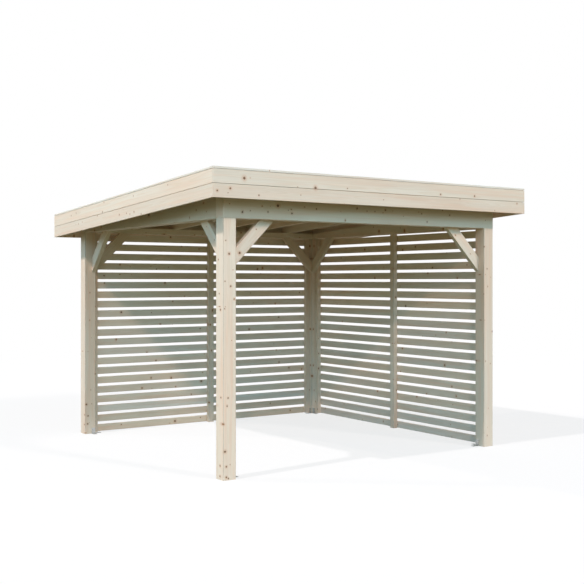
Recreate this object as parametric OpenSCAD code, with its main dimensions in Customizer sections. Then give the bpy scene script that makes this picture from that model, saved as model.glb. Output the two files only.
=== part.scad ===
// Garden pavilion: an open timber frame with two slatted walls under a
// lean roof. Origin on the ground at the middle of the post square,
// +X to the right, +Y to the back wall, +Z up. Millimetres.

/* [Frame] */
// Outside width over the posts
frame_w = 3000; // [2400:10:4000]
// Outside depth over the posts
frame_d = 3000; // [2400:10:4000]
// Square section of the corner posts
post = 119; // [90:1:160]
// Height of the beam undersides above the ground
post_h = 2100; // [1750:5:2550]
// Planed arris on the long edges of the posts
arris = 4; // [1:0.5:8]
// Height of the back beam, the lowest of the four
back_beam_h = 61; // [45:1:140]

/* [Braces] */
// Leg of each knee brace along post and beam
brace_leg = 413; // [250:1:600]
// Width of the brace board
brace_w = 98; // [60:1:140]
// Thickness of the brace board
brace_t = 45; // [30:1:60]
// Play around a brace where a thick batten is housed to let it pass
brace_play = 1; // [0.5:0.5:3]

/* [Roof] */
// Fall of the roof from front to back, degrees
fall = 3.1; // [1:0.05:6]
// Overhang past the posts on the left and right, fascia included
overhang_x = 210; // [120:5:400]
// Overhang past the posts at the front and back, fascia included
overhang_y = 210; // [120:5:400]
// Number of rafters, the two over the side beams included
rafters_n = 7; // [5:1:11]
// Shift of the inner rafters to the right of an even layout
rafter_shift = 50; // [0:5:80]
// Thickness of a rafter
rafter_t = 45; // [35:1:60]
// Depth of a rafter
rafter_d = 90; // [70:1:160]
// Least depth of the level seat cut over a beam
seat = 3; // [1:1:20]
// Working gap between sloping faces
fit = 0.05; // [0:0.05:0.5]
// Thickness of the roof boards
deck_t = 19; // [15:1:28]
// Nominal width of one roof board
board_w = 116; // [80:1:160]
// Width and depth of the joint lines between roof boards
joint = 3; // [1:0.5:5]
// Thickness of the closing boards between the rafters at the back
closing_t = 18; // [12:1:28]

/* [Fascia] */
// Height of one fascia board, two stand one above the other
fascia_h = 109; // [80:1:160]
// Thickness of a fascia board
fascia_t = 20; // [15:1:30]
// Open line between the two fascia boards
fascia_gap = 3; // [1:0.5:6]
// Rise of the fascia above the roof boards
upstand = 28; // [10:1:60]
// Thickness of the trim strip on top of the fascia
trim_t = 19; // [12:1:28]
// Width of the trim strip
trim_w = 45; // [30:1:80]
// Height of the drip rebate under the outer edge of the trim
drip_h = 3; // [1:0.5:6]
// Depth of the drip rebate from the outer face of the trim
drip_w = 8; // [4:1:14]

/* [Slatted walls] */
// Number of slats in each wall
slats_n = 21; // [15:1:26]
// Height of a slat
slat_h = 71; // [50:1:90]
// Thickness of a slat
slat_t = 18; // [14:1:26]
// Planed arris on the long edges of a slat
slat_arris = 3; // [1:0.5:5]
// Clearance under the lowest slat
slat_foot = 4; // [2:1:40]
// Clearance over the highest slat
slat_head = 13; // [5:1:40]
// Square section of the battens beside the posts
batten = 45; // [30:1:50]
// Width of the middle post of a wall, along the wall
mid_w = 62; // [40:1:90]
// Depth of the middle post of a wall
mid_d = 52; // [40:1:60]
// Place of the back wall's middle post, to the right of the wall's middle
mid_back_at = 28; // [-200:1:200]
// Place of the right wall's middle post, towards the front from the middle
mid_right_at = 60; // [-200:1:200]

/* [Ground brackets] */
// Width of the angle bracket
bracket_w = 38; // [25:1:50]
// Height of the leg screwed to the post
bracket_h = 60; // [40:1:90]
// Length of the leg on the ground
bracket_l = 65; // [40:1:90]
// Sheet thickness
bracket_t = 3; // [2:0.5:4]
// Diameter of the anchor hole in the ground leg
anchor_d = 11; // [8:0.5:14]
// Diameter of the two screw holes in the upright leg
screw_d = 5; // [4:0.5:7]

/* [Hidden] */
hx = frame_w / 2;
hy = frame_d / 2;
ix = hx - post;
iy = hy - post;
ex = hx + overhang_x;
ey = hy + overhang_y;
gx = ex - fascia_t;
gy = ey - fascia_t;
t_fall = tan(fall);
under_b = post_h + back_beam_h - seat;
deck_b = under_b + rafter_d + fit;
deck_top = deck_b + deck_t;
crown = deck_top + upstand;
front_top = under_b + t_fall * (iy + hy) + seat;
fascia_all = 2 * fascia_h + fascia_gap;
brace_in = brace_leg - brace_w * sqrt(2);
raft_step = (frame_w - rafter_t) / (rafters_n - 1);
slat_pitch = (post_h - slat_head - slat_foot - slat_h) / (slats_n - 1);
boards_n = round(2 * gy / board_w);
board_step = 2 * gy / boards_n;
anchor_at = (bracket_l + bracket_t) / 2 + 4;
wall_in = slat_t + batten;
bracket_off = (post - wall_in) / 2;

wood = [0.86, 0.78, 0.66];
pale = [0.90, 0.86, 0.74];
steel = [0.72, 0.74, 0.75];

// left face of rafter i; the outer two are flush with the side beams
function rafter_x(i) = -hx + i * raft_step
    + ((i > 0 && i < rafters_n - 1) ? rafter_shift : 0);

// height at depth y of a line that lies at z0 over the back beam's inner face
function slope_z(z0, y) = z0 - t_fall * (y - iy);

// upright bar of section w x d with planed arrises, from z0 to z1
module bar(w, d, z0, z1, c) {
    translate([0, 0, z0])
        linear_extrude(z1 - z0)
            polygon([
                [-w / 2 + c, -d / 2], [w / 2 - c, -d / 2],
                [w / 2, -d / 2 + c], [w / 2, d / 2 - c],
                [w / 2 - c, d / 2], [-w / 2 + c, d / 2],
                [-w / 2, d / 2 - c], [-w / 2, -d / 2 + c]
            ]);
}

// plate of thickness w standing across X, outlined by points [y, z]
module side_plate(x0, w, pts) {
    translate([x0, 0, 0])
        rotate([90, 0, 90])
            linear_extrude(w)
                polygon(pts);
}

// sloping strip of thickness w from y0 to y1, low and high edges by heights
module sloping_strip(x0, w, y0, y1, z_lo, z_hi) {
    side_plate(x0, w, [
        [y0, slope_z(z_lo, y0)], [y1, slope_z(z_lo, y1)],
        [y1, slope_z(z_hi, y1)], [y0, slope_z(z_hi, y0)]
    ]);
}

module corner_post(sx, sy) {
    color(wood)
        translate([sx * (hx - post / 2), sy * (hy - post / 2), 0])
            bar(post, post, 0, post_h, arris);
}

module front_beam() {
    color(wood)
        translate([-hx, -hy, post_h])
            cube([frame_w, post, front_top - post_h]);
}

module back_beam() {
    color(wood)
        translate([-hx, iy, post_h])
            cube([frame_w, post, back_beam_h]);
}

// side beam, its top cut to the fall of the roof
module side_beam(x0) {
    color(wood)
        side_plate(x0, post, [
            [-iy, post_h], [iy, post_h],
            [iy, under_b - fit], [-iy, slope_z(under_b - fit, -iy)]
        ]);
}

// knee brace in the XZ plane: post face at x = 0, beam underside at z = 0,
// both ends cut to 45 degrees so that they seat flat; play makes it the
// space that the brace needs
module knee_brace(play = 0) {
    grow = play * sqrt(2);
    rotate([90, 0, 0])
        linear_extrude(brace_t + play)
            polygon([
                [0, grow - brace_in], [0, -brace_leg - grow],
                [brace_leg + grow, 0], [brace_in - grow, 0]
            ]);
}

// the wall braces, flush with the inner faces of the posts
module back_brace_pair(play = 0) {
    for (s = [0, 1])
        mirror([s, 0, 0])
            translate([-ix, iy + brace_t + play, post_h])
                knee_brace(play);
}

module right_brace_only(play = 0) {
    translate([ix + brace_t + play, iy, post_h])
        rotate([0, 0, -90])
            knee_brace(play);
}

module front_braces() {
    color(wood)
        for (s = [0, 1])
            mirror([s, 0, 0])
                translate([-ix, -iy, post_h])
                    knee_brace();
}

module back_braces() {
    color(wood)
        back_brace_pair();
}

module left_braces() {
    color(wood)
        for (s = [0, 1])
            mirror([0, s, 0])
                translate([-ix - brace_t, -iy, post_h])
                    rotate([0, 0, 90])
                        knee_brace();
}

module right_brace() {
    color(wood)
        right_brace_only();
}

// rafter with level seats cut over the front and back beams
module rafter(x0) {
    difference() {
        sloping_strip(x0, rafter_t, -gy, gy, under_b, under_b + rafter_d);
        translate([x0 - 1, iy, post_h])
            cube([rafter_t + 2, post, back_beam_h]);
        translate([x0 - 1, -hy, post_h])
            cube([rafter_t + 2, post, front_top - post_h]);
    }
}

module rafters() {
    color(wood)
        for (i = [0 : rafters_n - 1])
            rafter(rafter_x(i));
}

// boards that close the bays between the rafters over the back beam
module closing_boards() {
    color(wood)
        for (i = [0 : rafters_n - 2])
            side_plate(rafter_x(i) + rafter_t, rafter_x(i + 1) - rafter_x(i) - rafter_t, [
                [hy - closing_t, post_h + back_beam_h],
                [hy, post_h + back_beam_h],
                [hy, slope_z(under_b + rafter_d, hy)],
                [hy - closing_t, slope_z(under_b + rafter_d, hy - closing_t)]
            ]);
}

// roof boards, laid across the rafters, with their joint lines
module roof_boards() {
    color(wood)
        difference() {
            sloping_strip(-gx, 2 * gx, -gy, gy, deck_b, deck_top);
            for (i = [1 : boards_n - 1])
                for (z0 = [deck_b, deck_top])
                    translate([-gx - 1, -gy + i * board_step,
                            slope_z(z0, -gy + i * board_step)])
                        rotate([45, 0, 0])
                            translate([0, -joint / 2, -joint / 2])
                                cube([2 * gx + 2, joint, joint]);
        }
}

// two level boards, one above the other, under the height z_top
module level_fascia(y0, z_top) {
    for (k = [0, 1])
        translate([-ex, y0, z_top - fascia_all + k * (fascia_h + fascia_gap)])
            cube([2 * ex, fascia_t, fascia_h]);
}

module front_fascia() {
    color(wood)
        level_fascia(-ey, slope_z(crown, -gy));
}

module back_fascia() {
    color(wood)
        level_fascia(gy, slope_z(crown, ey));
}

// two boards that follow the fall of the roof
module side_fascia(x0) {
    foot = crown - fascia_all;
    lift = fascia_h + fascia_gap;
    color(wood)
        for (k = [0, 1])
            sloping_strip(x0, fascia_t, -gy, gy,
                foot + k * lift, foot + k * lift + fascia_h);
}

// space of the drip rebate that runs round under the trim's outer edge
module drip_rebate() {
    lo = crown - 1;
    hi = crown + fit + drip_h;
    for (x0 = [-ex - 1, ex - drip_w])
        sloping_strip(x0, drip_w + 1, -ey - 1, ey + 1, lo, hi);
    for (y0 = [-ey - 1, ey - drip_w])
        sloping_strip(-ex - 1, 2 * ex + 2, y0, y0 + drip_w + 1, lo, hi);
}

// trim strip on top of the fascia, tilted with the roof
module trim(x0, w, y0, y1) {
    color(pale)
        difference() {
            sloping_strip(x0, w, y0, y1, crown + fit, crown + fit + trim_t);
            drip_rebate();
        }
}

// one slat along X, its inner face at y = 0
module slat(len) {
    translate([-len / 2, 0, 0])
        rotate([90, 0, 90])
            linear_extrude(len)
                polygon([
                    [0, slat_arris], [slat_arris, 0],
                    [slat_t - slat_arris, 0], [slat_t, slat_arris],
                    [slat_t, slat_h - slat_arris], [slat_t - slat_arris, slat_h],
                    [slat_arris, slat_h], [0, slat_h - slat_arris]
                ]);
}

module slat_rows(len) {
    for (i = [0 : slats_n - 1])
        translate([0, 0, slat_foot + i * slat_pitch])
            slat(len);
}

module back_slats() {
    color(wood)
        translate([0, hy - slat_t, 0])
            slat_rows(2 * ix);
}

module right_slats() {
    color(wood)
        translate([hx - slat_t, 0, 0])
            rotate([0, 0, -90])
                slat_rows(2 * iy);
}

module back_battens() {
    color(wood)
        difference() {
            for (s = [-1, 1])
                translate([s * (ix - batten / 2), hy - slat_t - batten / 2, 0])
                    bar(batten, batten, slat_foot, post_h, 2);
            back_brace_pair(brace_play);
        }
}

module right_battens() {
    color(wood)
        difference() {
            for (s = [-1, 1])
                translate([hx - slat_t - batten / 2, s * (iy - batten / 2), 0])
                    bar(batten, batten, slat_foot, post_h, 2);
            right_brace_only(brace_play);
        }
}

module back_mid_post() {
    color(wood)
        translate([mid_back_at, hy - slat_t - mid_d / 2, 0])
            bar(mid_w, mid_d, 0, post_h, 3);
}

module right_mid_post() {
    color(wood)
        translate([hx - slat_t - mid_d / 2, -mid_right_at, 0])
            bar(mid_d, mid_w, 0, post_h, 3);
}

// angle bracket: upright leg on the plane x = 0, ground leg towards +X
module angle_bracket() {
    difference() {
        translate([0, -bracket_w / 2, 0])
            union() {
                cube([bracket_t, bracket_w, bracket_h]);
                cube([bracket_l, bracket_w, bracket_t]);
            }
        translate([anchor_at, 0, -1])
            cylinder(d = anchor_d, h = bracket_t + 2);
        for (k = [0.42, 0.78])
            translate([-1, 0, k * bracket_h])
                rotate([0, 90, 0])
                    cylinder(d = screw_d, h = bracket_t + 2);
    }
}

// the two brackets on the inner faces of one post, half-way between the
// inner edge and the place of a batten
module post_brackets(sx, sy) {
    color(steel) {
        translate([sx * ix, sy * (iy + bracket_off), 0])
            mirror([sx > 0 ? 1 : 0, 0, 0])
                angle_bracket();
        translate([sx * (ix + bracket_off), sy * iy, 0])
            rotate([0, 0, -90 * sy])
                angle_bracket();
    }
}

corner_post(-1, -1);  // front_left_post
corner_post(1, -1);  // front_right_post
corner_post(-1, 1);  // back_left_post
corner_post(1, 1);  // back_right_post
front_beam();
back_beam();
side_beam(-hx);  // left_beam
side_beam(ix);  // right_beam
front_braces();
back_braces();
left_braces();
right_brace();
rafters();
closing_boards();
roof_boards();
front_fascia();
back_fascia();
side_fascia(-ex);  // left_fascia
side_fascia(gx);  // right_fascia
trim(-ex, 2 * ex, -ey, -ey + trim_w);  // front_trim
trim(-ex, 2 * ex, ey - trim_w, ey);  // back_trim
trim(-ex, trim_w, -ey + trim_w, ey - trim_w);  // left_trim
trim(ex - trim_w, trim_w, -ey + trim_w, ey - trim_w);  // right_trim
back_slats();
right_slats();
back_battens();
right_battens();
back_mid_post();
right_mid_post();
post_brackets(-1, -1);  // front_left_brackets
post_brackets(1, -1);  // front_right_brackets
post_brackets(-1, 1);  // back_left_brackets
post_brackets(1, 1);  // back_right_brackets
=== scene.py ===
# %% [markdown]
# # A garden pavilion in planed spruce
# The pavilion is an open timber frame: four corner posts with knee braces, four beams, rafters
# with roof boards, a two-board fascia with a trim strip, and two walls of horizontal slats.
# The frame that is loaded here already holds every timber at its real size. This lesson gives
# each timber its grain, knots and eased edges, adds the screws, and lights it all plainly.

# %% Load the frame
import math
import random

import bpy
from mathutils import Matrix, Vector


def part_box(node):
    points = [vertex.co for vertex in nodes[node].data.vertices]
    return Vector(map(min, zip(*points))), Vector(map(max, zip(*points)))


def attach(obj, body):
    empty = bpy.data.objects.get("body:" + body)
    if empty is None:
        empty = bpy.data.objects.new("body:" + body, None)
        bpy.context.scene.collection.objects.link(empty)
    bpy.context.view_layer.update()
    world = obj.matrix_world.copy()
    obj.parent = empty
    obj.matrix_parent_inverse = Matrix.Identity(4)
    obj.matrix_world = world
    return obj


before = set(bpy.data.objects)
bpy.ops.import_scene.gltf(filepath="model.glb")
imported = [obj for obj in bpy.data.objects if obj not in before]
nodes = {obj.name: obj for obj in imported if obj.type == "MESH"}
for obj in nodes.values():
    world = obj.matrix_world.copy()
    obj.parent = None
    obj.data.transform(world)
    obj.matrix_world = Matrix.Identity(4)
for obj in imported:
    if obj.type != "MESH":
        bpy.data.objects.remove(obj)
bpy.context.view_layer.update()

# %% [markdown]
# ## Sizes that the boards share
# Grain has to start and end where a board does, so the finishes need to know where one board
# stops and the next begins. Places are measured on the loaded timbers with a bounding box, which
# keeps the finishes right when the frame is built again with other sizes. A box can't tell how
# thick one slat or one rafter is, so the sections that such timber is sold in are named, in
# metres, where they are first needed.

# %% Measure the boards
SIDES = ("front", "back", "left", "right")
SLATS = 21
SLAT_H = 0.071
TRIM_T = 0.019


def middle(name):
    """The middle of a timber's box."""
    low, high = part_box(name)
    return (low + high) / 2


low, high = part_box("front_left_post")
HALF = -low.x
POST = high.x - low.x
INNER = HALF - POST
low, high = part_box("back_slats")
SLAT_Z = low.z
SLAT_STEP = (high.z - low.z - SLAT_H) / (SLATS - 1)
low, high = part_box("left_trim")
FALL = (high.z - low.z - TRIM_T) / (high.y - low.y)
print("post", round(POST, 4), "slat step", round(SLAT_STEP, 4), "fall", round(FALL, 4))

# %% [markdown]
# ## The camera
# A fairly long lens from some way off keeps the perspective calm. The camera is level, so that
# the posts stay upright in the picture, and the picture's frame is moved down a little with the
# lens shift, as with a view camera, which brings the roof and the floor into it evenly.

# %% Place the camera
EYE = (-5.412, -8.314, 1.599)
LEVEL = 90
HEADING = -33.86
LENS_MM = 60.6
SENSOR_MM = 36
LENS_SHIFT = -11.5 / 584

camera_data = bpy.data.cameras.new("camera")
camera_data.sensor_width = SENSOR_MM
camera_data.lens = LENS_MM
camera_data.shift_y = LENS_SHIFT
camera = bpy.data.objects.new("camera", camera_data)
camera.location = EYE
camera.rotation_euler = (math.radians(LEVEL), 0, math.radians(HEADING))
bpy.context.scene.collection.objects.link(camera)
bpy.context.scene.camera = camera
print("camera at", tuple(camera.location))

# %% [markdown]
# ## Light
# The studio has four soft lamps: the left one is the strongest, the front one stands a little
# to the right and the corner one to the left, and a weak one behind keeps that side readable.
# All are of the sun kind, whose light has the same strength everywhere. Their strengths are
# chosen so that a surface they face shows about the colour it is given, and pale wood stays
# below white. Each is listed with the way its light goes, its strength, its width in degrees,
# which decides how soft its shadows are, and its colour.

# %% Set the lamps
LAMPS = {
    "front_lamp": ((-0.28, 0.78, -0.56), 1.13, 5, (1.0, 0.855, 0.80)),
    "corner_lamp": ((0.43, 0.75, -0.51), 0.54, 2, (1.0, 0.72, 0.57)),
    "left_lamp": ((0.64, 0.08, -0.77), 1.94, 1.5, (1.0, 0.92, 0.90)),
    "back_lamp": ((0.60, -0.49, -0.63), 0.50, 1.0, (1.0, 0.84, 0.72)),
}
for name, (towards, strength, softness, colour) in LAMPS.items():
    data = bpy.data.lights.new(name, "SUN")
    data.energy = strength
    data.angle = math.radians(softness)
    data.color = colour
    lamp = bpy.data.objects.new(name, data)
    lamp.rotation_euler = Vector(towards).to_track_quat("-Z", "Y").to_euler()
    bpy.context.scene.collection.objects.link(lamp)
    print("lamp", name, "strength", strength)

# %% [markdown]
# ## Arithmetic with nodes
# The room light and the wood are both drawn by formulas. Wood, for one, depends on how far a
# point is from the heart of the tree: that decides whether it lies in pale early wood or in a
# darker growth line. Formulas get long as nodes, so this small class lets them be written as
# sums. Each +, -, * or / adds one Math node to the tree.

# %% Write formulas as nodes
class Flow:
    """A value that runs through a shader tree."""

    def __init__(self, tree, socket):
        self.tree = tree
        self.socket = socket

    def math(self, operation, *others):
        node = self.tree.nodes.new("ShaderNodeMath")
        node.operation = operation
        for slot, value in zip(node.inputs, (self, *others)):
            feed(self.tree, slot, value)
        return Flow(self.tree, node.outputs[0])

    def __add__(self, other):
        return self.math("ADD", other)

    def __sub__(self, other):
        return self.math("SUBTRACT", other)

    def __mul__(self, other):
        return self.math("MULTIPLY", other)

    def __truediv__(self, other):
        return self.math("DIVIDE", other)

    def floor(self):
        return self.math("FLOOR")

    def fract(self):
        return self.math("FRACT")

    def over(self, limit):
        """1 where the value is above the limit, else 0."""
        return self.math("GREATER_THAN", limit)

    def abs(self):
        return self.math("ABSOLUTE")

    def ramp(self, low, high, out_low=0.0, out_high=1.0, kind="SMOOTHSTEP"):
        """Runs from out_low at `low` to out_high at `high`, smoothly or, if LINEAR, evenly."""
        node = self.tree.nodes.new("ShaderNodeMapRange")
        node.interpolation_type = kind
        for slot, value in zip(node.inputs, (self, low, high, out_low, out_high)):
            feed(self.tree, slot, value)
        return Flow(self.tree, node.outputs[0])

    def scaled(self, amount):
        """A vector or colour times a number."""
        node = self.tree.nodes.new("ShaderNodeVectorMath")
        node.operation = "SCALE"
        feed(self.tree, node.inputs[0], self)
        feed(self.tree, node.inputs["Scale"], amount)
        return Flow(self.tree, node.outputs[0])

    def parts(self):
        """The three numbers of a vector or colour."""
        node = self.tree.nodes.new("ShaderNodeSeparateXYZ")
        feed(self.tree, node.inputs[0], self)
        return [Flow(self.tree, socket) for socket in node.outputs]


def feed(tree, slot, value):
    """Plugs a Flow into an input, or writes a plain value there."""
    if isinstance(value, Flow):
        tree.links.new(value.socket, slot)
    else:
        slot.default_value = value


print("formula helpers ready")

# %% [markdown]
# Vectors are put together from three numbers, and colours and shaders are mixed. The last
# helper tells how a surface is being looked at: straight by the camera, in a reflection or
# through glass, or only by light that bounces off it.

# %% Mix colours and shaders
def vector(tree, x, y, z):
    node = tree.nodes.new("ShaderNodeCombineXYZ")
    for slot, value in zip(node.inputs, (x, y, z)):
        feed(tree, slot, value)
    return Flow(tree, node.outputs[0])


def blend(tree, amount, first, second, kind="MIX"):
    """Mixes two colours; a colour is a Flow or an (r, g, b)."""
    node = tree.nodes.new("ShaderNodeMix")
    node.data_type = "RGBA"
    node.blend_type = kind
    feed(tree, node.inputs[0], amount)
    for slot, value in ((node.inputs[6], first), (node.inputs[7], second)):
        feed(tree, slot, value if isinstance(value, Flow) else (*value, 1))
    return Flow(tree, node.outputs[2])


def shader_of(tree, kind, colour):
    """A new shader node of one colour."""
    node = tree.nodes.new(kind)
    node.inputs["Color"].default_value = (*colour, 1)
    return Flow(tree, node.outputs[0])


def mix_shaders(tree, amount, first, second):
    """Mixes two shaders: the first where amount is 0, the second where it is 1."""
    node = tree.nodes.new("ShaderNodeMixShader")
    for slot, value in zip(node.inputs, (amount, first, second)):
        feed(tree, slot, value)
    return Flow(tree, node.outputs[0])


def in_view(tree):
    """1 where the camera looks straight, in a reflection or through glass, 0 for other light."""
    rays = tree.nodes.new("ShaderNodeLightPath").outputs
    seen = Flow(tree, rays["Is Camera Ray"])
    for kind in ("Is Glossy Ray", "Is Transmission Ray"):
        seen = seen.math("MAXIMUM", Flow(tree, rays[kind]))
    return seen


print("mixing helpers ready")

# %% [markdown]
# ## The room light
# The room light is the world's colour, given by the height above the horizon. It is cool on the
# front and left, where the light of an open sky would come in, plain on the right and behind,
# and a little weaker from the far left. It is brightest some way above the horizon and weak
# overhead, so that it reaches in under the roof. Where the world is in view it is plain white,
# which gives the white backdrop without more light.

# %% Set the room light
ROOM_STRENGTH = 2.1
WHITE = (1.0, 1.0, 1.0)
COOL_SKY = ((0.0, (0.12, 0.16, 0.10)), (0.09, (0.35, 0.46, 0.41)), (0.24, (0.74, 1.15, 1.36)),
            (0.42, (0.40, 0.75, 1.04)), (0.60, (0.12, 0.24, 0.33)), (0.80, (0.02, 0.03, 0.04)))
PLAIN_SKY = ((0.0, (0.40, 0.39, 0.36)), (0.30, (0.56, 0.56, 0.54)),
             (0.60, (0.12, 0.13, 0.14)), (0.80, (0.02, 0.03, 0.04)))

world = bpy.data.worlds.new("room")
bpy.context.scene.world = world
world.use_nodes = True
tree = world.node_tree
x, y, z = Flow(tree, tree.nodes.new("ShaderNodeTexCoord").outputs["Generated"]).parts()


def sky(stops):
    """The colours of `stops`, from the horizon at height 0 to overhead at height 1."""
    node = tree.nodes.new("ShaderNodeValToRGB")
    node.color_ramp.interpolation = "EASE"
    elements = node.color_ramp.elements
    elements.remove(elements[1])
    for height, colour in stops:
        stop = elements.new(height) if height else elements[0]
        stop.color = (*colour, 1)
    feed(tree, node.inputs[0], z)
    return Flow(tree, node.outputs[0])


to_the_back = (x + y).ramp(-0.3, 0.5, kind="LINEAR")
from_the_left = x.ramp(-0.9, -0.2, 0.82, 1.02, kind="LINEAR")
room = tree.nodes["Background"]
room.inputs["Strength"].default_value = ROOM_STRENGTH
colour = blend(tree, to_the_back, sky(COOL_SKY), sky(PLAIN_SKY)).scaled(from_the_left)
feed(tree, room.inputs["Color"], colour)
backdrop = shader_of(tree, "ShaderNodeBackground", WHITE)
surface = mix_shaders(tree, in_view(tree), Flow(tree, room.outputs[0]), backdrop)
feed(tree, tree.nodes["World Output"].inputs["Surface"], surface)
bpy.context.scene.view_settings.view_transform = "Standard"
print("room light strength", ROOM_STRENGTH)

# %% [markdown]
# ## Chance
# Chance comes from three nodes: White Noise gives each board its own fixed numbers, Noise gives
# soft drifts that change along the wood, and Voronoi gives cells around scattered points, which
# become branches in wood and crystals in zinc.

# %% Draw by chance
def chances(tree, seed):
    """Three fixed random numbers for one board."""
    node = tree.nodes.new("ShaderNodeTexWhiteNoise")
    node.noise_dimensions = "1D"
    feed(tree, node.inputs["W"], seed)
    return Flow(tree, node.outputs["Color"]).parts()


def noise(tree, place, detail=2.0):
    """A soft random value around 0.5."""
    node = tree.nodes.new("ShaderNodeTexNoise")
    feed(tree, node.inputs["Vector"], place)
    node.inputs["Scale"].default_value = 1.0
    node.inputs["Detail"].default_value = detail
    return Flow(tree, node.outputs[0])


def cells(tree, place, dimensions):
    """How far a point is from the middle of its cell, and the cell's three random numbers."""
    node = tree.nodes.new("ShaderNodeTexVoronoi")
    node.voronoi_dimensions = dimensions
    node.inputs["Scale"].default_value = 1.0
    feed(tree, node.inputs["Vector"], place)
    return Flow(tree, node.outputs["Distance"]), Flow(tree, node.outputs["Color"]).parts()


print("chance helpers ready")

# %% [markdown]
# ## Branches
# A knot is a branch that grew outwards from the heart of the tree. It is found by its place
# along the trunk and its angle around the heart, as on a map of the trunk that is rolled out
# flat. Each cell of that map holds one branch. A few branches are thick, most are thin, and
# those that left no knot get a width of almost nothing.

# %% Grow the branches
THIN_BRANCH = 0.003
THICKER = 0.0165
RARENESS = 2.2
NO_BRANCH = 0.00002
TURN_PER_BOARD = 0.71


def knots(tree, place, arc, board, knotty, crowd):
    """How far a point is from the nearest branch, in branch widths, its width and its kind."""
    spot = vector(tree, place * crowd, (arc + board * TURN_PER_BOARD) * crowd, 0.0)
    apart, (pick, kind, _) = cells(tree, spot, "2D")
    grown = (pick - 1.0) + knotty
    width = grown.math("MAXIMUM", 0.0).math("POWER", RARENESS) * THICKER + THIN_BRANCH
    width = (width * grown.over(0.0)).math("MAXIMUM", NO_BRANCH)
    return apart / (width * crowd), width, kind


print("branches from", THIN_BRANCH, "to", THIN_BRANCH + THICKER, "m wide")

# %% [markdown]
# ## Spruce, grown from its rings
# A board is a slice of a log. The group below works in the board's own directions: along the
# grain, across its face and through its thickness. It picks a heart line somewhere behind the
# board and measures the distance to it, so that faces, edges and end grain all show the same
# rings. The rings bend around a knot, which is ringed by darker wood. On top of the rings lie
# fine fibres, soft clouds and a reddish blush, and every board is a little warmer or brighter
# than the next. These are the colours and the sizes of such a log, in metres; edges of knots
# are counted in branch widths, from where the change begins to where it is complete.

# %% Choose the colours and sizes of the log
EARLY = (0.82, 0.705, 0.595)
LATE = (0.75, 0.585, 0.44)
BLUSH = (0.82, 0.59, 0.45)
HALO = (0.68, 0.40, 0.26)
LIVE_KNOT = (0.36, 0.17, 0.07)
DEAD_KNOT = (0.075, 0.04, 0.019)
RING_W = 0.0028
RING_SPREAD = 0.003
RIPPLE = 0.002
TRUNK = 90
STEP_PER_BOARD = 1.37
SECOND_DRAW = 31.7
TINT_DRAW = 57.3
HEART_DEPTH = 0.035
HEART_SPREAD = 0.06
HEART_ASIDE = 0.07
HEART_SWING = 0.05
HEART_SWAY = 0.04
ROLL_RADIUS = 0.07
LISTED_WIDTH = 0.008
LISTED_KIND = 0.8
FRAY = 0.7
KNOT_EDGE = (1.1, 0.75)
HALO_EDGE = (3.2, 0.9)
print("rings", RING_W, "to", round(RING_W + RING_SPREAD, 4), "m wide")

# %% [markdown]
# Noise that is squeezed across the grain and stretched along it looks like wood. Each use below
# says how many soft spots there are along one metre of grain, and how many across.

# %% Grow the wood

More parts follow.
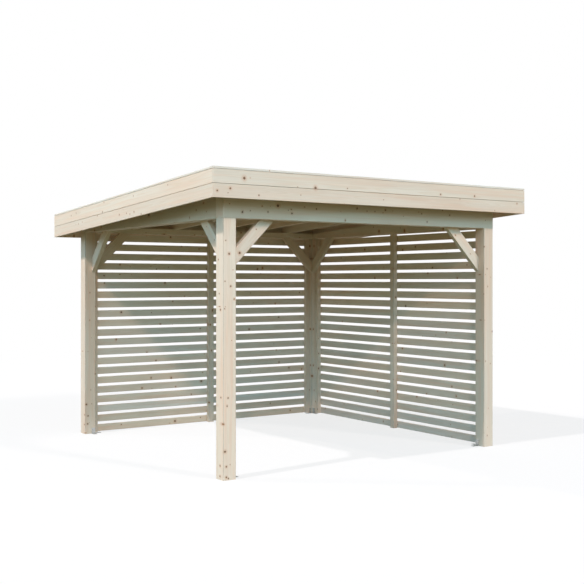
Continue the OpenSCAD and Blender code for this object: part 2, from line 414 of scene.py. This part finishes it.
def grow_spruce():
    """The node group that every timber uses."""
    tree = bpy.data.node_groups.new("planed_spruce", "ShaderNodeTree")
    for name in ("Along", "Across", "Through", "Board", "Half", "Knotty", "Crowd", "Known"):
        tree.interface.new_socket(name=name, in_out="INPUT", socket_type="NodeSocketFloat")
    tree.interface.new_socket(name="Colour", in_out="OUTPUT", socket_type="NodeSocketColor")
    for name in ("Height", "Roughness"):
        tree.interface.new_socket(name=name, in_out="OUTPUT", socket_type="NodeSocketFloat")
    start = tree.nodes.new("NodeGroupInput")
    along, across, through, board, half, knotty, crowd, known = (
        Flow(tree, socket) for socket in list(start.outputs)[:8])
    trunk, side, depth = chances(tree, board)
    width, warmth, bright = chances(tree, board + SECOND_DRAW)
    place = along + trunk * TRUNK + board * STEP_PER_BOARD

    def soft(long, fine, shift=0.0, lift=0.0, detail=2.0):
        """Noise, stretched along the wood; shift and lift pick another part of it."""
        return noise(tree, vector(
            tree, place * long + shift, across * fine, through * fine + lift), detail)

    # The heart line wanders slowly as it runs along behind the board.
    swing = soft(0.8, 2.5) - 0.5
    sway = soft(0.8, 2.5, lift=40) - 0.5
    out = across + (side - 0.5) * HEART_ASIDE + swing * HEART_SWING
    up = through + half + depth * HEART_SPREAD + HEART_DEPTH + sway * HEART_SWAY
    radius = (out * out + up * up).math("SQRT")
    arc = out.math("ARCTAN2", up) * (half + ROLL_RADIUS)

    # A listed knot takes the place of a branch wherever it is the nearer one.
    reach, size, kind = knots(tree, place, arc, board, knotty, crowd)
    nearer = known.math("LESS_THAN", reach)
    size = size + nearer * (size * -1.0 + LISTED_WIDTH)
    kind = kind + nearer * (kind * -1.0 + LISTED_KIND)
    fray = soft(120, 120) - 0.5
    reach = reach.math("MINIMUM", known) * (fray * FRAY + 1.0)
    knot = reach.ramp(*KNOT_EDGE)
    halo = reach.ramp(*HALO_EDGE)

    # Rings are pushed outwards by a knot; each darkens slowly and ends at once.
    ripple = soft(2.5, 22) - 0.5
    ring = radius + halo * halo * size * 0.54 + ripple * RIPPLE
    line = (ring / (width * RING_SPREAD + RING_W)).fract()
    late = line.ramp(0.35, 0.9) * line.ramp(1.0, 0.93)
    fibre = soft(5, 240, detail=3.0) - 0.5
    cloud = soft(0.9, 16) - 0.5
    streak = soft(1.3, 34, shift=9, detail=3.0).ramp(0.48, 0.66)
    flush = soft(0.7, 7, shift=50).ramp(0.40, 0.66)
    blush = flush * 0.65 + streak * 0.5 + (warmth - 0.5) * 0.5

    # The colours are laid over each other, from the wood up to the knot.
    colour = blend(tree, blush * 0.75, EARLY, BLUSH)
    colour = blend(tree, late * 0.38, colour, LATE)
    tone = fibre * 0.14 + cloud * 0.12 + (bright - 0.5) * 0.10 + 1.0
    colour = blend(tree, halo * 0.55, colour.scaled(tone), HALO)
    core = blend(tree, kind.ramp(0.55, 0.95), LIVE_KNOT, DEAD_KNOT)

    end = tree.nodes.new("NodeGroupOutput")
    feed(tree, end.inputs["Colour"], blend(tree, knot * 0.94, colour, core))
    feed(tree, end.inputs["Height"], late * 0.25 + fibre * 0.5 - knot * 0.6)
    feed(tree, end.inputs["Roughness"], fibre * 0.2 - late * 0.06 - knot * 0.12 + 0.62)
    return tree


spruce_group = grow_spruce()
print("spruce nodes", len(spruce_group.nodes))

# %% [markdown]
# ## The large knots
# Most knots come by chance. Those that a visitor would notice are listed, because they are what
# makes one front look like itself: those on faces that look to the front by X, Z and radius,
# those on faces that look to the left by Y, Z and radius, all in metres. How far out such a
# face lies is read from the timber's box.

# %% List the large knots
FRONT_KNOTS = {
    "front_fascia": (
        (-1.431, 2.401, 0.0115), (-0.748, 2.36, 0.0115), (-1.674, 2.292, 0.007),
        (-1.558, 2.314, 0.008), (0.631, 2.374, 0.007), (1.051, 2.378, 0.0075),
        (0.867, 2.343, 0.004)),
    "front_beam": (
        (-1.323, 2.151, 0.008), (-1.248, 2.165, 0.004), (-1.077, 2.162, 0.006),
        (-0.98, 2.217, 0.012), (-0.841, 2.159, 0.007), (-0.59, 2.206, 0.0055),
        (-0.155, 2.229, 0.0065), (-0.045, 2.209, 0.0045), (0.044, 2.209, 0.0045),
        (0.162, 2.226, 0.007), (0.59, 2.21, 0.005), (0.936, 2.21, 0.006), (0.656, 2.138, 0.006)),
    "front_left_post": (
        (-1.446, 1.813, 0.0085), (-1.431, 1.553, 0.0065), (-1.484, 1.593, 0.004),
        (-1.487, 1.373, 0.004), (-1.477, 1.919, 0.004), (-1.456, 0.659, 0.006),
        (-1.484, 0.232, 0.009), (-1.472, 0.111, 0.0065), (-1.472, 0.026, 0.007)),
    "front_braces": ((-1.304, 1.823, 0.01), (-1.145, 2.021, 0.0045)),
    "back_left_post": ((-1.485, 0.308, 0.009), (-1.467, 0.188, 0.007), (-1.471, 0.105, 0.007)),
    "front_right_post": ((1.422, 1.712, 0.0055), (1.385, 1.924, 0.006)),
    "back_slats": (
        (0.673, 1.732, 0.009), (1.269, 1.455, 0.006), (0.559, 1.031, 0.009),
        (-0.088, 1.057, 0.006), (-0.405, 0.037, 0.011), (-1.049, 0.051, 0.005),
        (-0.085, 0.051, 0.005), (-0.201, 0.322, 0.006), (-0.074, 0.462, 0.011)),
}
LEFT_KNOTS = {
    "left_fascia": (
        (0.394, 2.339, 0.005), (0.43, 2.249, 0.0065), (1.034, 2.164, 0.005),
        (1.228, 2.257, 0.005), (0.042, 2.201, 0.006), (-0.116, 2.206, 0.005),
        (-0.276, 2.209, 0.0065), (0.55, 2.218, 0.005)),
    "front_left_post": (
        (-1.42, 1.767, 0.006), (-1.455, 1.365, 0.008), (-1.434, 1.493, 0.005),
        (-1.462, 0.662, 0.0065), (-1.449, 0.113, 0.0075), (-1.447, 0.029, 0.007)),
    "back_left_post": ((1.395, 0.199, 0.0075), (1.401, 0.098, 0.0075)),
    "right_slats": ((-0.654, 1.733, 0.008), (-0.387, 1.956, 0.008)),
}


def listed_knots(node):
    """The listed knots of a timber as pairs of place and radius."""
    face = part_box(node)[0]
    return ([((x, face.y, z), radius) for x, z, radius in FRONT_KNOTS.get(node, ())]
            + [((face.x, y, z), radius) for y, z, radius in LEFT_KNOTS.get(node, ())])


print("listed knots", sum(len(listed_knots(node)) for node in {**FRONT_KNOTS, **LEFT_KNOTS}))

# %% [markdown]
# ## A finish for each kind of timber
# The same wood group serves every piece. What changes is the direction of the grain and the
# rule that tells one board from the next. The rule turns a place in the pavilion into the
# board's own directions, and gives each board its own number. The numbers of each kind of
# timber start at another value, so that no two boards grow alike.

# %% Prepare the finishes
FIRST_NUMBER = {
    "posts": 3, "battens": 11, "beams": 21, "braces": 31, "back_slats": 101,
    "right_slats": 151, "rafters": 201, "roof_boards": 221, "closing_boards": 261,
    "fascia": 281, "trim": 301,
}


def new_material(name):
    """A new material with its tree, its shader, and the place of a point on the piece."""
    material = bpy.data.materials.new(name)
    material.use_nodes = True
    tree = material.node_tree
    place = Flow(tree, tree.nodes.new("ShaderNodeTexCoord").outputs["Object"])
    return material, tree, tree.nodes["Principled BSDF"], place


def distance(tree, place, spot):
    """How far a point is from a fixed spot."""
    node = tree.nodes.new("ShaderNodeVectorMath")
    node.operation = "DISTANCE"
    feed(tree, node.inputs[0], place)
    node.inputs[1].default_value = spot
    return Flow(tree, node.outputs["Value"])


def coat(node, material):
    """Gives a timber or a bracket one material."""
    mesh = nodes[node].data
    mesh.materials.clear()
    mesh.materials.append(material)
    for face in mesh.polygons:
        face.material_index = 0


print("kinds of timber", len(FIRST_NUMBER))

# %% [markdown]
# The finish of one timber puts this together. The place on the timber is turned into the
# board's directions, the wood group draws the grain there, a weak stain and painted shade on a
# planed-off edge are laid over it, and the relief of the fibres is left to a bump. On the left
# beam and the closing boards the stain is painted shade too.

# %% Write the wood finish
FAR = 100.0
# The share of its colour that a planed-off edge keeps: painted shade.
PAINTED_EDGE_SHADE = 0.76
WOOD_GLOSS = 0.3
RELIEF = 0.0006
BUMP = 0.5


def wood(node, lay, half, knotty=0.7, crowd=4.5, tint=WHITE, warmest=None, arris=None):
    """Finishes a timber; lay(x, y, z) returns along, across, through and the board's number.

    half is half the board's thickness, knotty the share of branches that left a knot, crowd
    their number along one metre, and arris(x, y, z) is 1 on a planed-off edge, which gets
    painted shade. Boards are tinted from `tint` to `warmest`; on the left beam and the closing
    boards `tint` is painted shade.
    """
    material, tree, shader, place = new_material("spruce_" + node)
    x, y, z = place.parts()
    known = FAR
    for spot, radius in listed_knots(node):
        known = (distance(tree, place, spot) / radius).math("MINIMUM", known)
    along, across, through, board = lay(x, y, z)
    group = tree.nodes.new("ShaderNodeGroup")
    group.node_tree = spruce_group
    settings = (along, across, through, board, half, knotty, crowd, known)
    for slot, value in zip(group.inputs, settings):
        feed(tree, slot, value)
    grown, height, roughness = (Flow(tree, socket) for socket in group.outputs)

    if warmest:
        tint = blend(tree, chances(tree, board + TINT_DRAW)[0], tint, warmest)
    # The tint multiplies the wood: a stain on most timbers, painted shade on the left beam and the
    # closing boards.
    colour = blend(tree, 1.0, grown, tint, "MULTIPLY")
    # Painted shade: the colour of a planed-off edge is darkened.
    if arris:
        colour = blend(tree, arris(x, y, z), colour, colour.scaled(PAINTED_EDGE_SHADE))
    bump = tree.nodes.new("ShaderNodeBump")
    bump.inputs["Strength"].default_value = BUMP
    bump.inputs["Distance"].default_value = RELIEF
    feed(tree, bump.inputs["Height"], height)
    feed(tree, shader.inputs["Base Color"], colour)
    feed(tree, shader.inputs["Roughness"], roughness)
    feed(tree, shader.inputs["Normal"], Flow(tree, bump.outputs[0]))
    shader.inputs["Specular IOR Level"].default_value = WOOD_GLOSS
    coat(node, material)


print("wood finish ready")

# %% [markdown]
# Posts stand upright, so their grain runs along Z. Each post gets its own number, which moves
# its heart to another side and gives it other knots. A planed-off edge gets painted shade, which
# makes it darker than the faces beside it. The edge is found by adding up how far a point is from
# the middle of the post along X and along Y, which is most at the edges.

# %% Finish the posts
ARRIS = 0.004
POST_KNOTS = 7.0
POSTS = ("front_left_post", "front_right_post", "back_left_post", "back_right_post",
         "back_mid_post", "right_mid_post")


def upright(x_mid, y_mid, number):
    """The lay of a timber that stands upright around x_mid, y_mid."""
    return lambda x, y, z: (z, x - x_mid, y - y_mid, number)


def painted_edge_shade(name):
    """A rule that is 1 on the planed-off edges of a post, where shade is painted."""
    low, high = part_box(name)
    m = middle(name)
    reach = (high.x - low.x) / 2 + (high.y - low.y) / 2 - ARRIS
    return lambda x, y, z: ((x - m.x).abs() + (y - m.y).abs()).ramp(reach - 0.0012, reach - 0.0004)


for number, name in enumerate(POSTS, FIRST_NUMBER["posts"]):
    low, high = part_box(name)
    m = middle(name)
    wood(name, upright(m.x, m.y, number), (high.y - low.y) / 2,
         0.55 if listed_knots(name) else 0.85, POST_KNOTS, arris=painted_edge_shade(name))
print("posts", len(POSTS))

# %% [markdown]
# Battens stand beside the posts and carry the ends of the slats. They are upright too, but
# their lay is measured from the outer corner of the frame, so that the two of one wall lie in
# different places of the same log.

# %% Finish the battens
BATTEN = 0.045
for step, name in enumerate(("back_battens", "right_battens")):
    wood(name, upright(HALF, HALF, FIRST_NUMBER["battens"] + 4 * step), BATTEN / 2)
print("battens finished")

# %% [markdown]
# Beams lie flat: the grain of the front and back beams runs along X, that of the left and right
# ones along Y. The same is true of braces, slats, fascia and trim, so one helper takes care of
# it. Each rule is then written once, for along, aside and the height Z.

# %% Finish the beams
def by_side(name, rule):
    """Turns rule(along, aside, z) into the lay of a timber of one side of the pavilion."""
    m = middle(name)
    if name.startswith(("front", "back")):
        return lambda x, y, z: rule(x, y - m.y, z)
    return lambda x, y, z: rule(y, x - m.x, z)


def beam_lay(name, number):
    level = middle(name).z
    return by_side(name, lambda along, aside, z: (along, z - level, aside, number))


for number, side in enumerate(SIDES, FIRST_NUMBER["beams"]):
    name = side + "_beam"
    # Painted shade: the left beam is tinted darker and greyer for the shade under the left eave.
    wood(name, beam_lay(name, number), POST / 2, 0.5 if listed_knots(name) else 0.9, POST_KNOTS,
         (0.88, 0.89, 0.86) if side == "left" else WHITE)
print("beams finished")

# %% [markdown]
# A brace runs at 45 degrees. Both braces of a pair lean towards the middle, so the distance
# from the middle takes the place of X, and one rule serves the left and the right brace. Height
# and distance add up to the same value all along the middle of a brace: it is found from the
# lowest point of the brace, on the post, and half the width of the timber.

# %% Finish the braces
BRACE_W = 0.098
BRACE_T = 0.045
BRACES = ("front_braces", "back_braces", "left_braces", "right_brace")
R = math.sqrt(0.5)
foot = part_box("front_braces")[0].z
brace_line = INNER + foot + BRACE_W * R


def brace_lay(name, number):
    """The grain climbs towards the middle; the two braces of a pair differ by one in number."""
    return by_side(name, lambda along, aside, z: (
        (z - along.abs()) * R, (z + along.abs() - brace_line) * R, aside,
        along.over(0.0) + number))


for pair, name in enumerate(BRACES):
    wood(name, brace_lay(name, FIRST_NUMBER["braces"] + 2 * pair), BRACE_T / 2)
print("height and distance along a brace", round(brace_line, 4))

# %% [markdown]
# Slats repeat upwards at one step. The whole part of height over step is the number of the
# slat, and each number draws other grain. Slats are cut from many logs, so that some are
# greyish and some are honey-coloured: each is stained a little, between two tints.

# %% Finish the slats
SLAT_T = 0.018
SLAT_START = SLAT_Z - (SLAT_STEP - SLAT_H) / 2
COOLEST = (0.955, 1.0, 1.06)
WARMEST = (1.035, 0.985, 0.93)


def slat_lay(name):
    first = FIRST_NUMBER[name]

    def rule(along, aside, z):
        steps = (z - SLAT_START) / SLAT_STEP
        across = steps.fract() * SLAT_STEP - SLAT_STEP / 2
        return along, across, aside * -1, steps.floor() + first

    return by_side(name, rule)


for name in ("back_slats", "right_slats"):
    wood(name, slat_lay(name), SLAT_T / 2, tint=COOLEST, warmest=WARMEST)
print("slats from", round(SLAT_START, 4), "m up")

# %% [markdown]
# Rafters run from front to back, and the roof boards run across them. The inner rafters don't
# stand at even steps, so their places are read from the corners of their mesh. The number of a
# rafter is then the count of the lines between rafters that lie to its left.

# %% Find the rafters
RAFTER_T = 0.045


def rows(places, thick):
    """The middles of pieces that stand in a row, from all their corners along that row."""
    groups = []
    for place in sorted(places):
        if not groups or place - groups[-1][0] > 1.5 * thick:
            groups.append([place])
        groups[-1].append(place)
    return [(group[0] + group[-1]) / 2 for group in groups]


def climb(x, limits, rises=None):
    """A number that rises at each limit that x has passed, by 1 or by the given rise."""
    total = x * 0
    for limit, rise in zip(limits, rises or [1] * len(limits)):
        total = total + x.over(limit) * rise
    return total


rafter_lines = rows([corner.co.x for corner in nodes["rafters"].data.vertices], RAFTER_T)
print("rafters at", [round(line, 3) for line in rafter_lines])

# %% [markdown]
# Rafters and roof boards slope. Adding the fall for each metre of Y to the height takes the
# slope out again, so that the grain follows the timber. The closing boards stand between the
# rafters and end at them, so the rafters' own lines tell one board from the next.

# %% Finish the roof
DECK_T = 0.019
DECK_W = 0.116
between = [(left + right) / 2 for left, right in zip(rafter_lines, rafter_lines[1:])]
spaces = [right - left for left, right in zip(rafter_lines, rafter_lines[1:])]
roof_low, roof_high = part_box("roof_boards")
BOARDS = round((roof_high.y - roof_low.y) / DECK_W)
BOARD_STEP = (roof_high.y - roof_low.y) / BOARDS


def rafter_lay(x, y, z):
    aside = x - rafter_lines[0] - climb(x, between, spaces)
    return (y, z + y * FALL - middle("rafters").z, aside,
            climb(x, between) + FIRST_NUMBER["rafters"])


def roof_lay(x, y, z):
    steps = (y - roof_low.y) / BOARD_STEP
    return (x, steps.fract() * BOARD_STEP - BOARD_STEP / 2,
            z + y * FALL - middle("roof_boards").z, steps.floor() + FIRST_NUMBER["roof_boards"])


def closing_lay(x, y, z):
    m = middle("closing_boards")
    return x, z - m.z, y - m.y, climb(x, rafter_lines[1:-1]) + FIRST_NUMBER["closing_boards"]


wood("rafters", rafter_lay, RAFTER_T / 2)
wood("roof_boards", roof_lay, DECK_T / 2, tint=(0.90, 0.90, 0.89))
# Painted shade: the closing boards are tinted darker for the shade between the rafters.
wood("closing_boards", closing_lay, SLAT_T / 2, tint=(0.84, 0.85, 0.80))
print("roof boards", BOARDS, "step", round(BOARD_STEP, 4))

# %% [markdown]
# Fascia boards come in pairs, the upper one above the middle of the pair. The side pairs
# follow the fall of the roof, so their height is measured from a sloping line.

# %% Finish the fascia and trim
FASCIA_W = 0.110
FASCIA_T = 0.020


def fascia_lay(name, number):
    level = middle(name).z
    fall = 0 if name.startswith(("front", "back")) else FALL

    def rule(along, aside, z):
        height = z + along * fall - level
        return along, height.abs() - FASCIA_W / 2, aside, height.over(0.0) + number

    return by_side(name, rule)


def trim_lay(name, number):
    level = middle(name).z
    return by_side(name, lambda along, aside, z: (along, aside, z - level, number))


for step, side in enumerate(SIDES):
    name = side + "_fascia"
    wood(name, fascia_lay(name, FIRST_NUMBER["fascia"] + 2 * step), FASCIA_T / 2,
         0.5 if listed_knots(name) else 0.7)
    name = side + "_trim"
    wood(name, trim_lay(name, FIRST_NUMBER["trim"] + step), TRIM_T / 2, 0.3,
         tint=(0.97, 1.07, 1.16))
print("fascia and trim finished")

# %% [markdown]
# ## Galvanised steel
# The angle brackets are hot-dip galvanised sheet: zinc freezes in flat crystals that differ a
# little in brightness, with a dull shine.

# %% Finish the brackets
CRYSTALS_PER_M = 160


def galvanised():
    material, tree, shader, place = new_material("galvanised_sheet")
    shader.inputs["Metallic"].default_value = 1.0
    grey = cells(tree, place.scaled(CRYSTALS_PER_M), "3D")[1][0]
    colour = blend(tree, grey, (0.38, 0.40, 0.40), (0.56, 0.58, 0.57))
    feed(tree, shader.inputs["Base Color"], colour)
    feed(tree, shader.inputs["Roughness"], grey * 0.14 + 0.34)
    return material


zinc = galvanised()
for corner in ("front_left", "front_right", "back_left", "back_right"):
    coat(corner + "_brackets", zinc)
print("brackets finished")

# %% [markdown]
# ## Screws and nails
# The slats are held from outside by two countersunk screws at every upright, the brackets by
# pan head screws, and the roof boards by two nails on each rafter. A head starts as a low
# cylinder with eight sides. Its top is inset to give the head a sloping rim, and a screw's top
# is inset twice more, the last time downwards, for the socket of the driver. One head of each
# kind is modelled, then copied to every place where the real pavilion has one.

# %% Model a head
HEAD_SIDES = 8
SUNK = 0.001
RIM_SHARE = 0.28
SOCKET_SHARE = 0.22
TAPER_SHARE = 0.06


def head(name, radius, proud, rim, socket):
    """A head that faces +Z on the plane z = 0 and stands `proud` of it before its rim slopes."""
    bpy.ops.object.select_all(action="DESELECT")
    bpy.ops.mesh.primitive_cylinder_add(
        vertices=HEAD_SIDES, radius=radius, depth=proud + SUNK,
        location=(0, 0, (proud - SUNK) / 2))
    bpy.ops.object.transform_apply(location=True)
    item = bpy.context.object
    item.name = name
    bpy.ops.object.mode_set(mode="EDIT")
    bpy.ops.mesh.select_mode(type="FACE")
    bpy.ops.mesh.select_all(action="DESELECT")
    bpy.ops.object.mode_set(mode="OBJECT")
    for face in item.data.polygons:
        face.select = face.normal.z > 0.9
    bpy.ops.object.mode_set(mode="EDIT")
    bpy.ops.mesh.inset(thickness=radius * RIM_SHARE, depth=rim)
    if socket:
        bpy.ops.mesh.inset(thickness=radius * SOCKET_SHARE)
        bpy.ops.mesh.inset(thickness=radius * TAPER_SHARE, depth=-socket)
    bpy.ops.object.mode_set(mode="OBJECT")
    print(name, "faces", len(item.data.polygons))
    return item


countersunk = head("countersunk_head", radius=0.0042, proud=0.0002, rim=0.0003, socket=0.0009)
pan = head("pan_head", radius=0.0045, proud=0.0014, rim=0.0008, socket=0.0012)
nail = head("nail_head", radius=0.0025, proud=0.0001, rim=0.0002, socket=0)

# %% [markdown]
# The heads are of bright steel. Their colour drifts a little from one to the next, as in a
# handful out of one box, and the shine is broken by fine marks.

# %% Make the steel of the heads
DRIFTS_PER_M = 9
MARKS_PER_M = 1400


def bright_steel():
    material, tree, shader, place = new_material("bright_steel")
    shader.inputs["Metallic"].default_value = 1.0
    drift = noise(tree, place.scaled(DRIFTS_PER_M))
    marks = noise(tree, place.scaled(MARKS_PER_M), 3.0)
    colour = blend(tree, drift.ramp(0.3, 0.7), (0.55, 0.53, 0.48), (0.70, 0.69, 0.66))
    feed(tree, shader.inputs["Base Color"], colour)
    feed(tree, shader.inputs["Roughness"], marks * 0.3 + 0.22)
    return material


steel = bright_steel()
print("steel nodes", len(steel.node_tree.nodes))

# %% [markdown]
# Each place is a point and the way that the head faces, and each head is turned by chance, as
# a driver leaves it. The copies of one kind are joined, so that they are one piece, and the
# piece is told to ride on the pavilion.

# %% Write down how heads are fastened
SEED = 11
SPIN = math.pi / 4
chance = random.Random(SEED)


def fasten(name, master, spots):
    """Copies a head to every (place, facing) and joins the copies into one piece."""
    copies = []
    for place, facing in spots:
        item = master.copy()
        item.data = master.data.copy()
        turned = Vector(facing).to_track_quat("Z", "Y").to_matrix().to_4x4()
        spin = Matrix.Rotation(chance.uniform(0, SPIN), 4, "Z")
        item.matrix_world = Matrix.Translation(place) @ turned @ spin
        bpy.context.scene.collection.objects.link(item)
        copies.append(item)
    bpy.ops.object.select_all(action="DESELECT")
    for item in copies:
        item.select_set(True)
    bpy.context.view_layer.objects.active = copies[0]
    bpy.ops.object.join()
    bpy.ops.object.transform_apply(location=True, rotation=True, scale=True)
    piece = bpy.context.object
    piece.name = name
    piece.data.materials.clear()
    piece.data.materials.append(steel)
    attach(piece, "root")
    print(name, len(spots), "heads", len(piece.data.polygons), "faces")


print("heads turn by up to", round(math.degrees(SPIN)), "degrees")

# %% [markdown]
# A slat is screwed to the batten at each end and to the middle post, with two screws at each,
# a quarter of its height from its edges.

# %% Screw on the slats
TWO_ACROSS = (0.25, 0.75)
batten_line = INNER - BATTEN / 2
screw_rows = [SLAT_Z + SLAT_STEP * slat + SLAT_H * share
              for slat in range(SLATS) for share in TWO_ACROSS]
spots = [((x, HALF, z), (0, 1, 0)) for z in screw_rows
         for x in (-batten_line, middle("back_mid_post").x, batten_line)]
spots += [((HALF, y, z), (1, 0, 0)) for z in screw_rows
          for y in (-batten_line, middle("right_mid_post").y, batten_line)]
fasten("slat_screws", countersunk, spots)

# %% [markdown]
# The two brackets of a post stand on its inner faces. Each has two screws, one above the other,
# in its upright leg. Their heads rest on the sheet, not on the post.

# %% Screw on the brackets
BRACKET_W = 0.038
BRACKET_T = 0.003
TWO_UPWARDS = (0.42, 0.78)
spots = []
for sx, sy in ((-1, -1), (1, -1), (-1, 1), (1, 1)):
    name = ("front" if sy < 0 else "back") + ("_left" if sx < 0 else "_right") + "_brackets"
    low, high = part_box(name)
    along = max(-low.x, high.x) - BRACKET_W / 2
    face = INNER - BRACKET_T
    for share in TWO_UPWARDS:
        z = share * (high.z - low.z)
        spots.append(((sx * face, sy * along, z), (-sx, 0, 0)))
        spots.append(((sx * along, sy * face, z), (0, -sy, 0)))
fasten("bracket_screws", pan, spots)

# %% [markdown]
# A roof board gets two nails at every rafter, a quarter of its width from each edge. The heads
# lean with the fall, so that they lie flat on the boards. Once the last head is copied, the
# three that served as models are taken away.

# %% Nail the roof boards
spots = []
for board in range(BOARDS):
    for share in TWO_ACROSS:
        y = roof_low.y + (board + share) * BOARD_STEP
        z = roof_high.z - FALL * (y - roof_low.y)
        spots += [((x, y, z), (0, FALL, 1)) for x in rafter_lines]
fasten("roof_nails", nail, spots)
for item in (countersunk, pan, nail):
    bpy.data.objects.remove(item)

# %% [markdown]
# ## Eased edges
# Planed timber never has a knife-sharp edge: each arris is rounded by a millimetre or two. The
# Weld modifier joins the loose triangles of a node, and the Bevel modifier rounds what turns
# by more than 30 degrees. The node's own mesh stays as it was loaded.

# %% Ease the edges
SAME_PLACE = 0.00005
SHARP = 30


def ease(name, width):
    """Rounds the edges of a timber by `width` metres."""
    item = nodes[name]
    weld = item.modifiers.new("weld", "WELD")
    weld.merge_threshold = SAME_PLACE
    edge = item.modifiers.new("eased_edge", "BEVEL")
    edge.width = width
    edge.segments = 2
    edge.limit_method = "ANGLE"
    edge.angle_limit = math.radians(SHARP)


for side in SIDES:
    ease(side + "_beam", 0.003)
    ease(side + "_fascia", 0.0015)
    ease(side + "_trim", 0.002)
for name in (*BRACES, "rafters"):
    ease(name, 0.002)
print("edges eased")

# %% [markdown]
# ## The floor
# The floor is only a stage. In view it is white and keeps a soft shadow, which fades out some
# way from the pavilion. To the light that bounces it is a darker ground, so that the underside
# of the roof stays shaded.

# %% Lay the floor
FLOOR_SIZE = 60
FLOOR_DROP = 0.0005
SHADED = (0.86, 0.855, 0.855)
GROUND = (0.115, 0.12, 0.052)
SHADOW_SHARE = 0.25
SHADOW_FADES = (4.0, 12.0)

bpy.ops.object.select_all(action="DESELECT")
bpy.ops.mesh.primitive_plane_add(size=FLOOR_SIZE, location=(0, 0, -FLOOR_DROP))
floor = bpy.context.object
floor.name = "floor"
bpy.ops.object.transform_apply(location=True)
material, tree, shader, place = new_material("floor_white")
tree.nodes.remove(shader)
white = shader_of(tree, "ShaderNodeEmission", WHITE)
shaded = shader_of(tree, "ShaderNodeBsdfDiffuse", SHADED)
ground = shader_of(tree, "ShaderNodeBsdfDiffuse", GROUND)
fade = distance(tree, place, (0, 0, 0)).ramp(*SHADOW_FADES, SHADOW_SHARE, 0.0)
seen = mix_shaders(tree, fade, white, shaded)
surface = mix_shaders(tree, in_view(tree), ground, seen)
feed(tree, tree.nodes["Material Output"].inputs["Surface"], surface)
floor.data.materials.append(material)
print("floor laid")
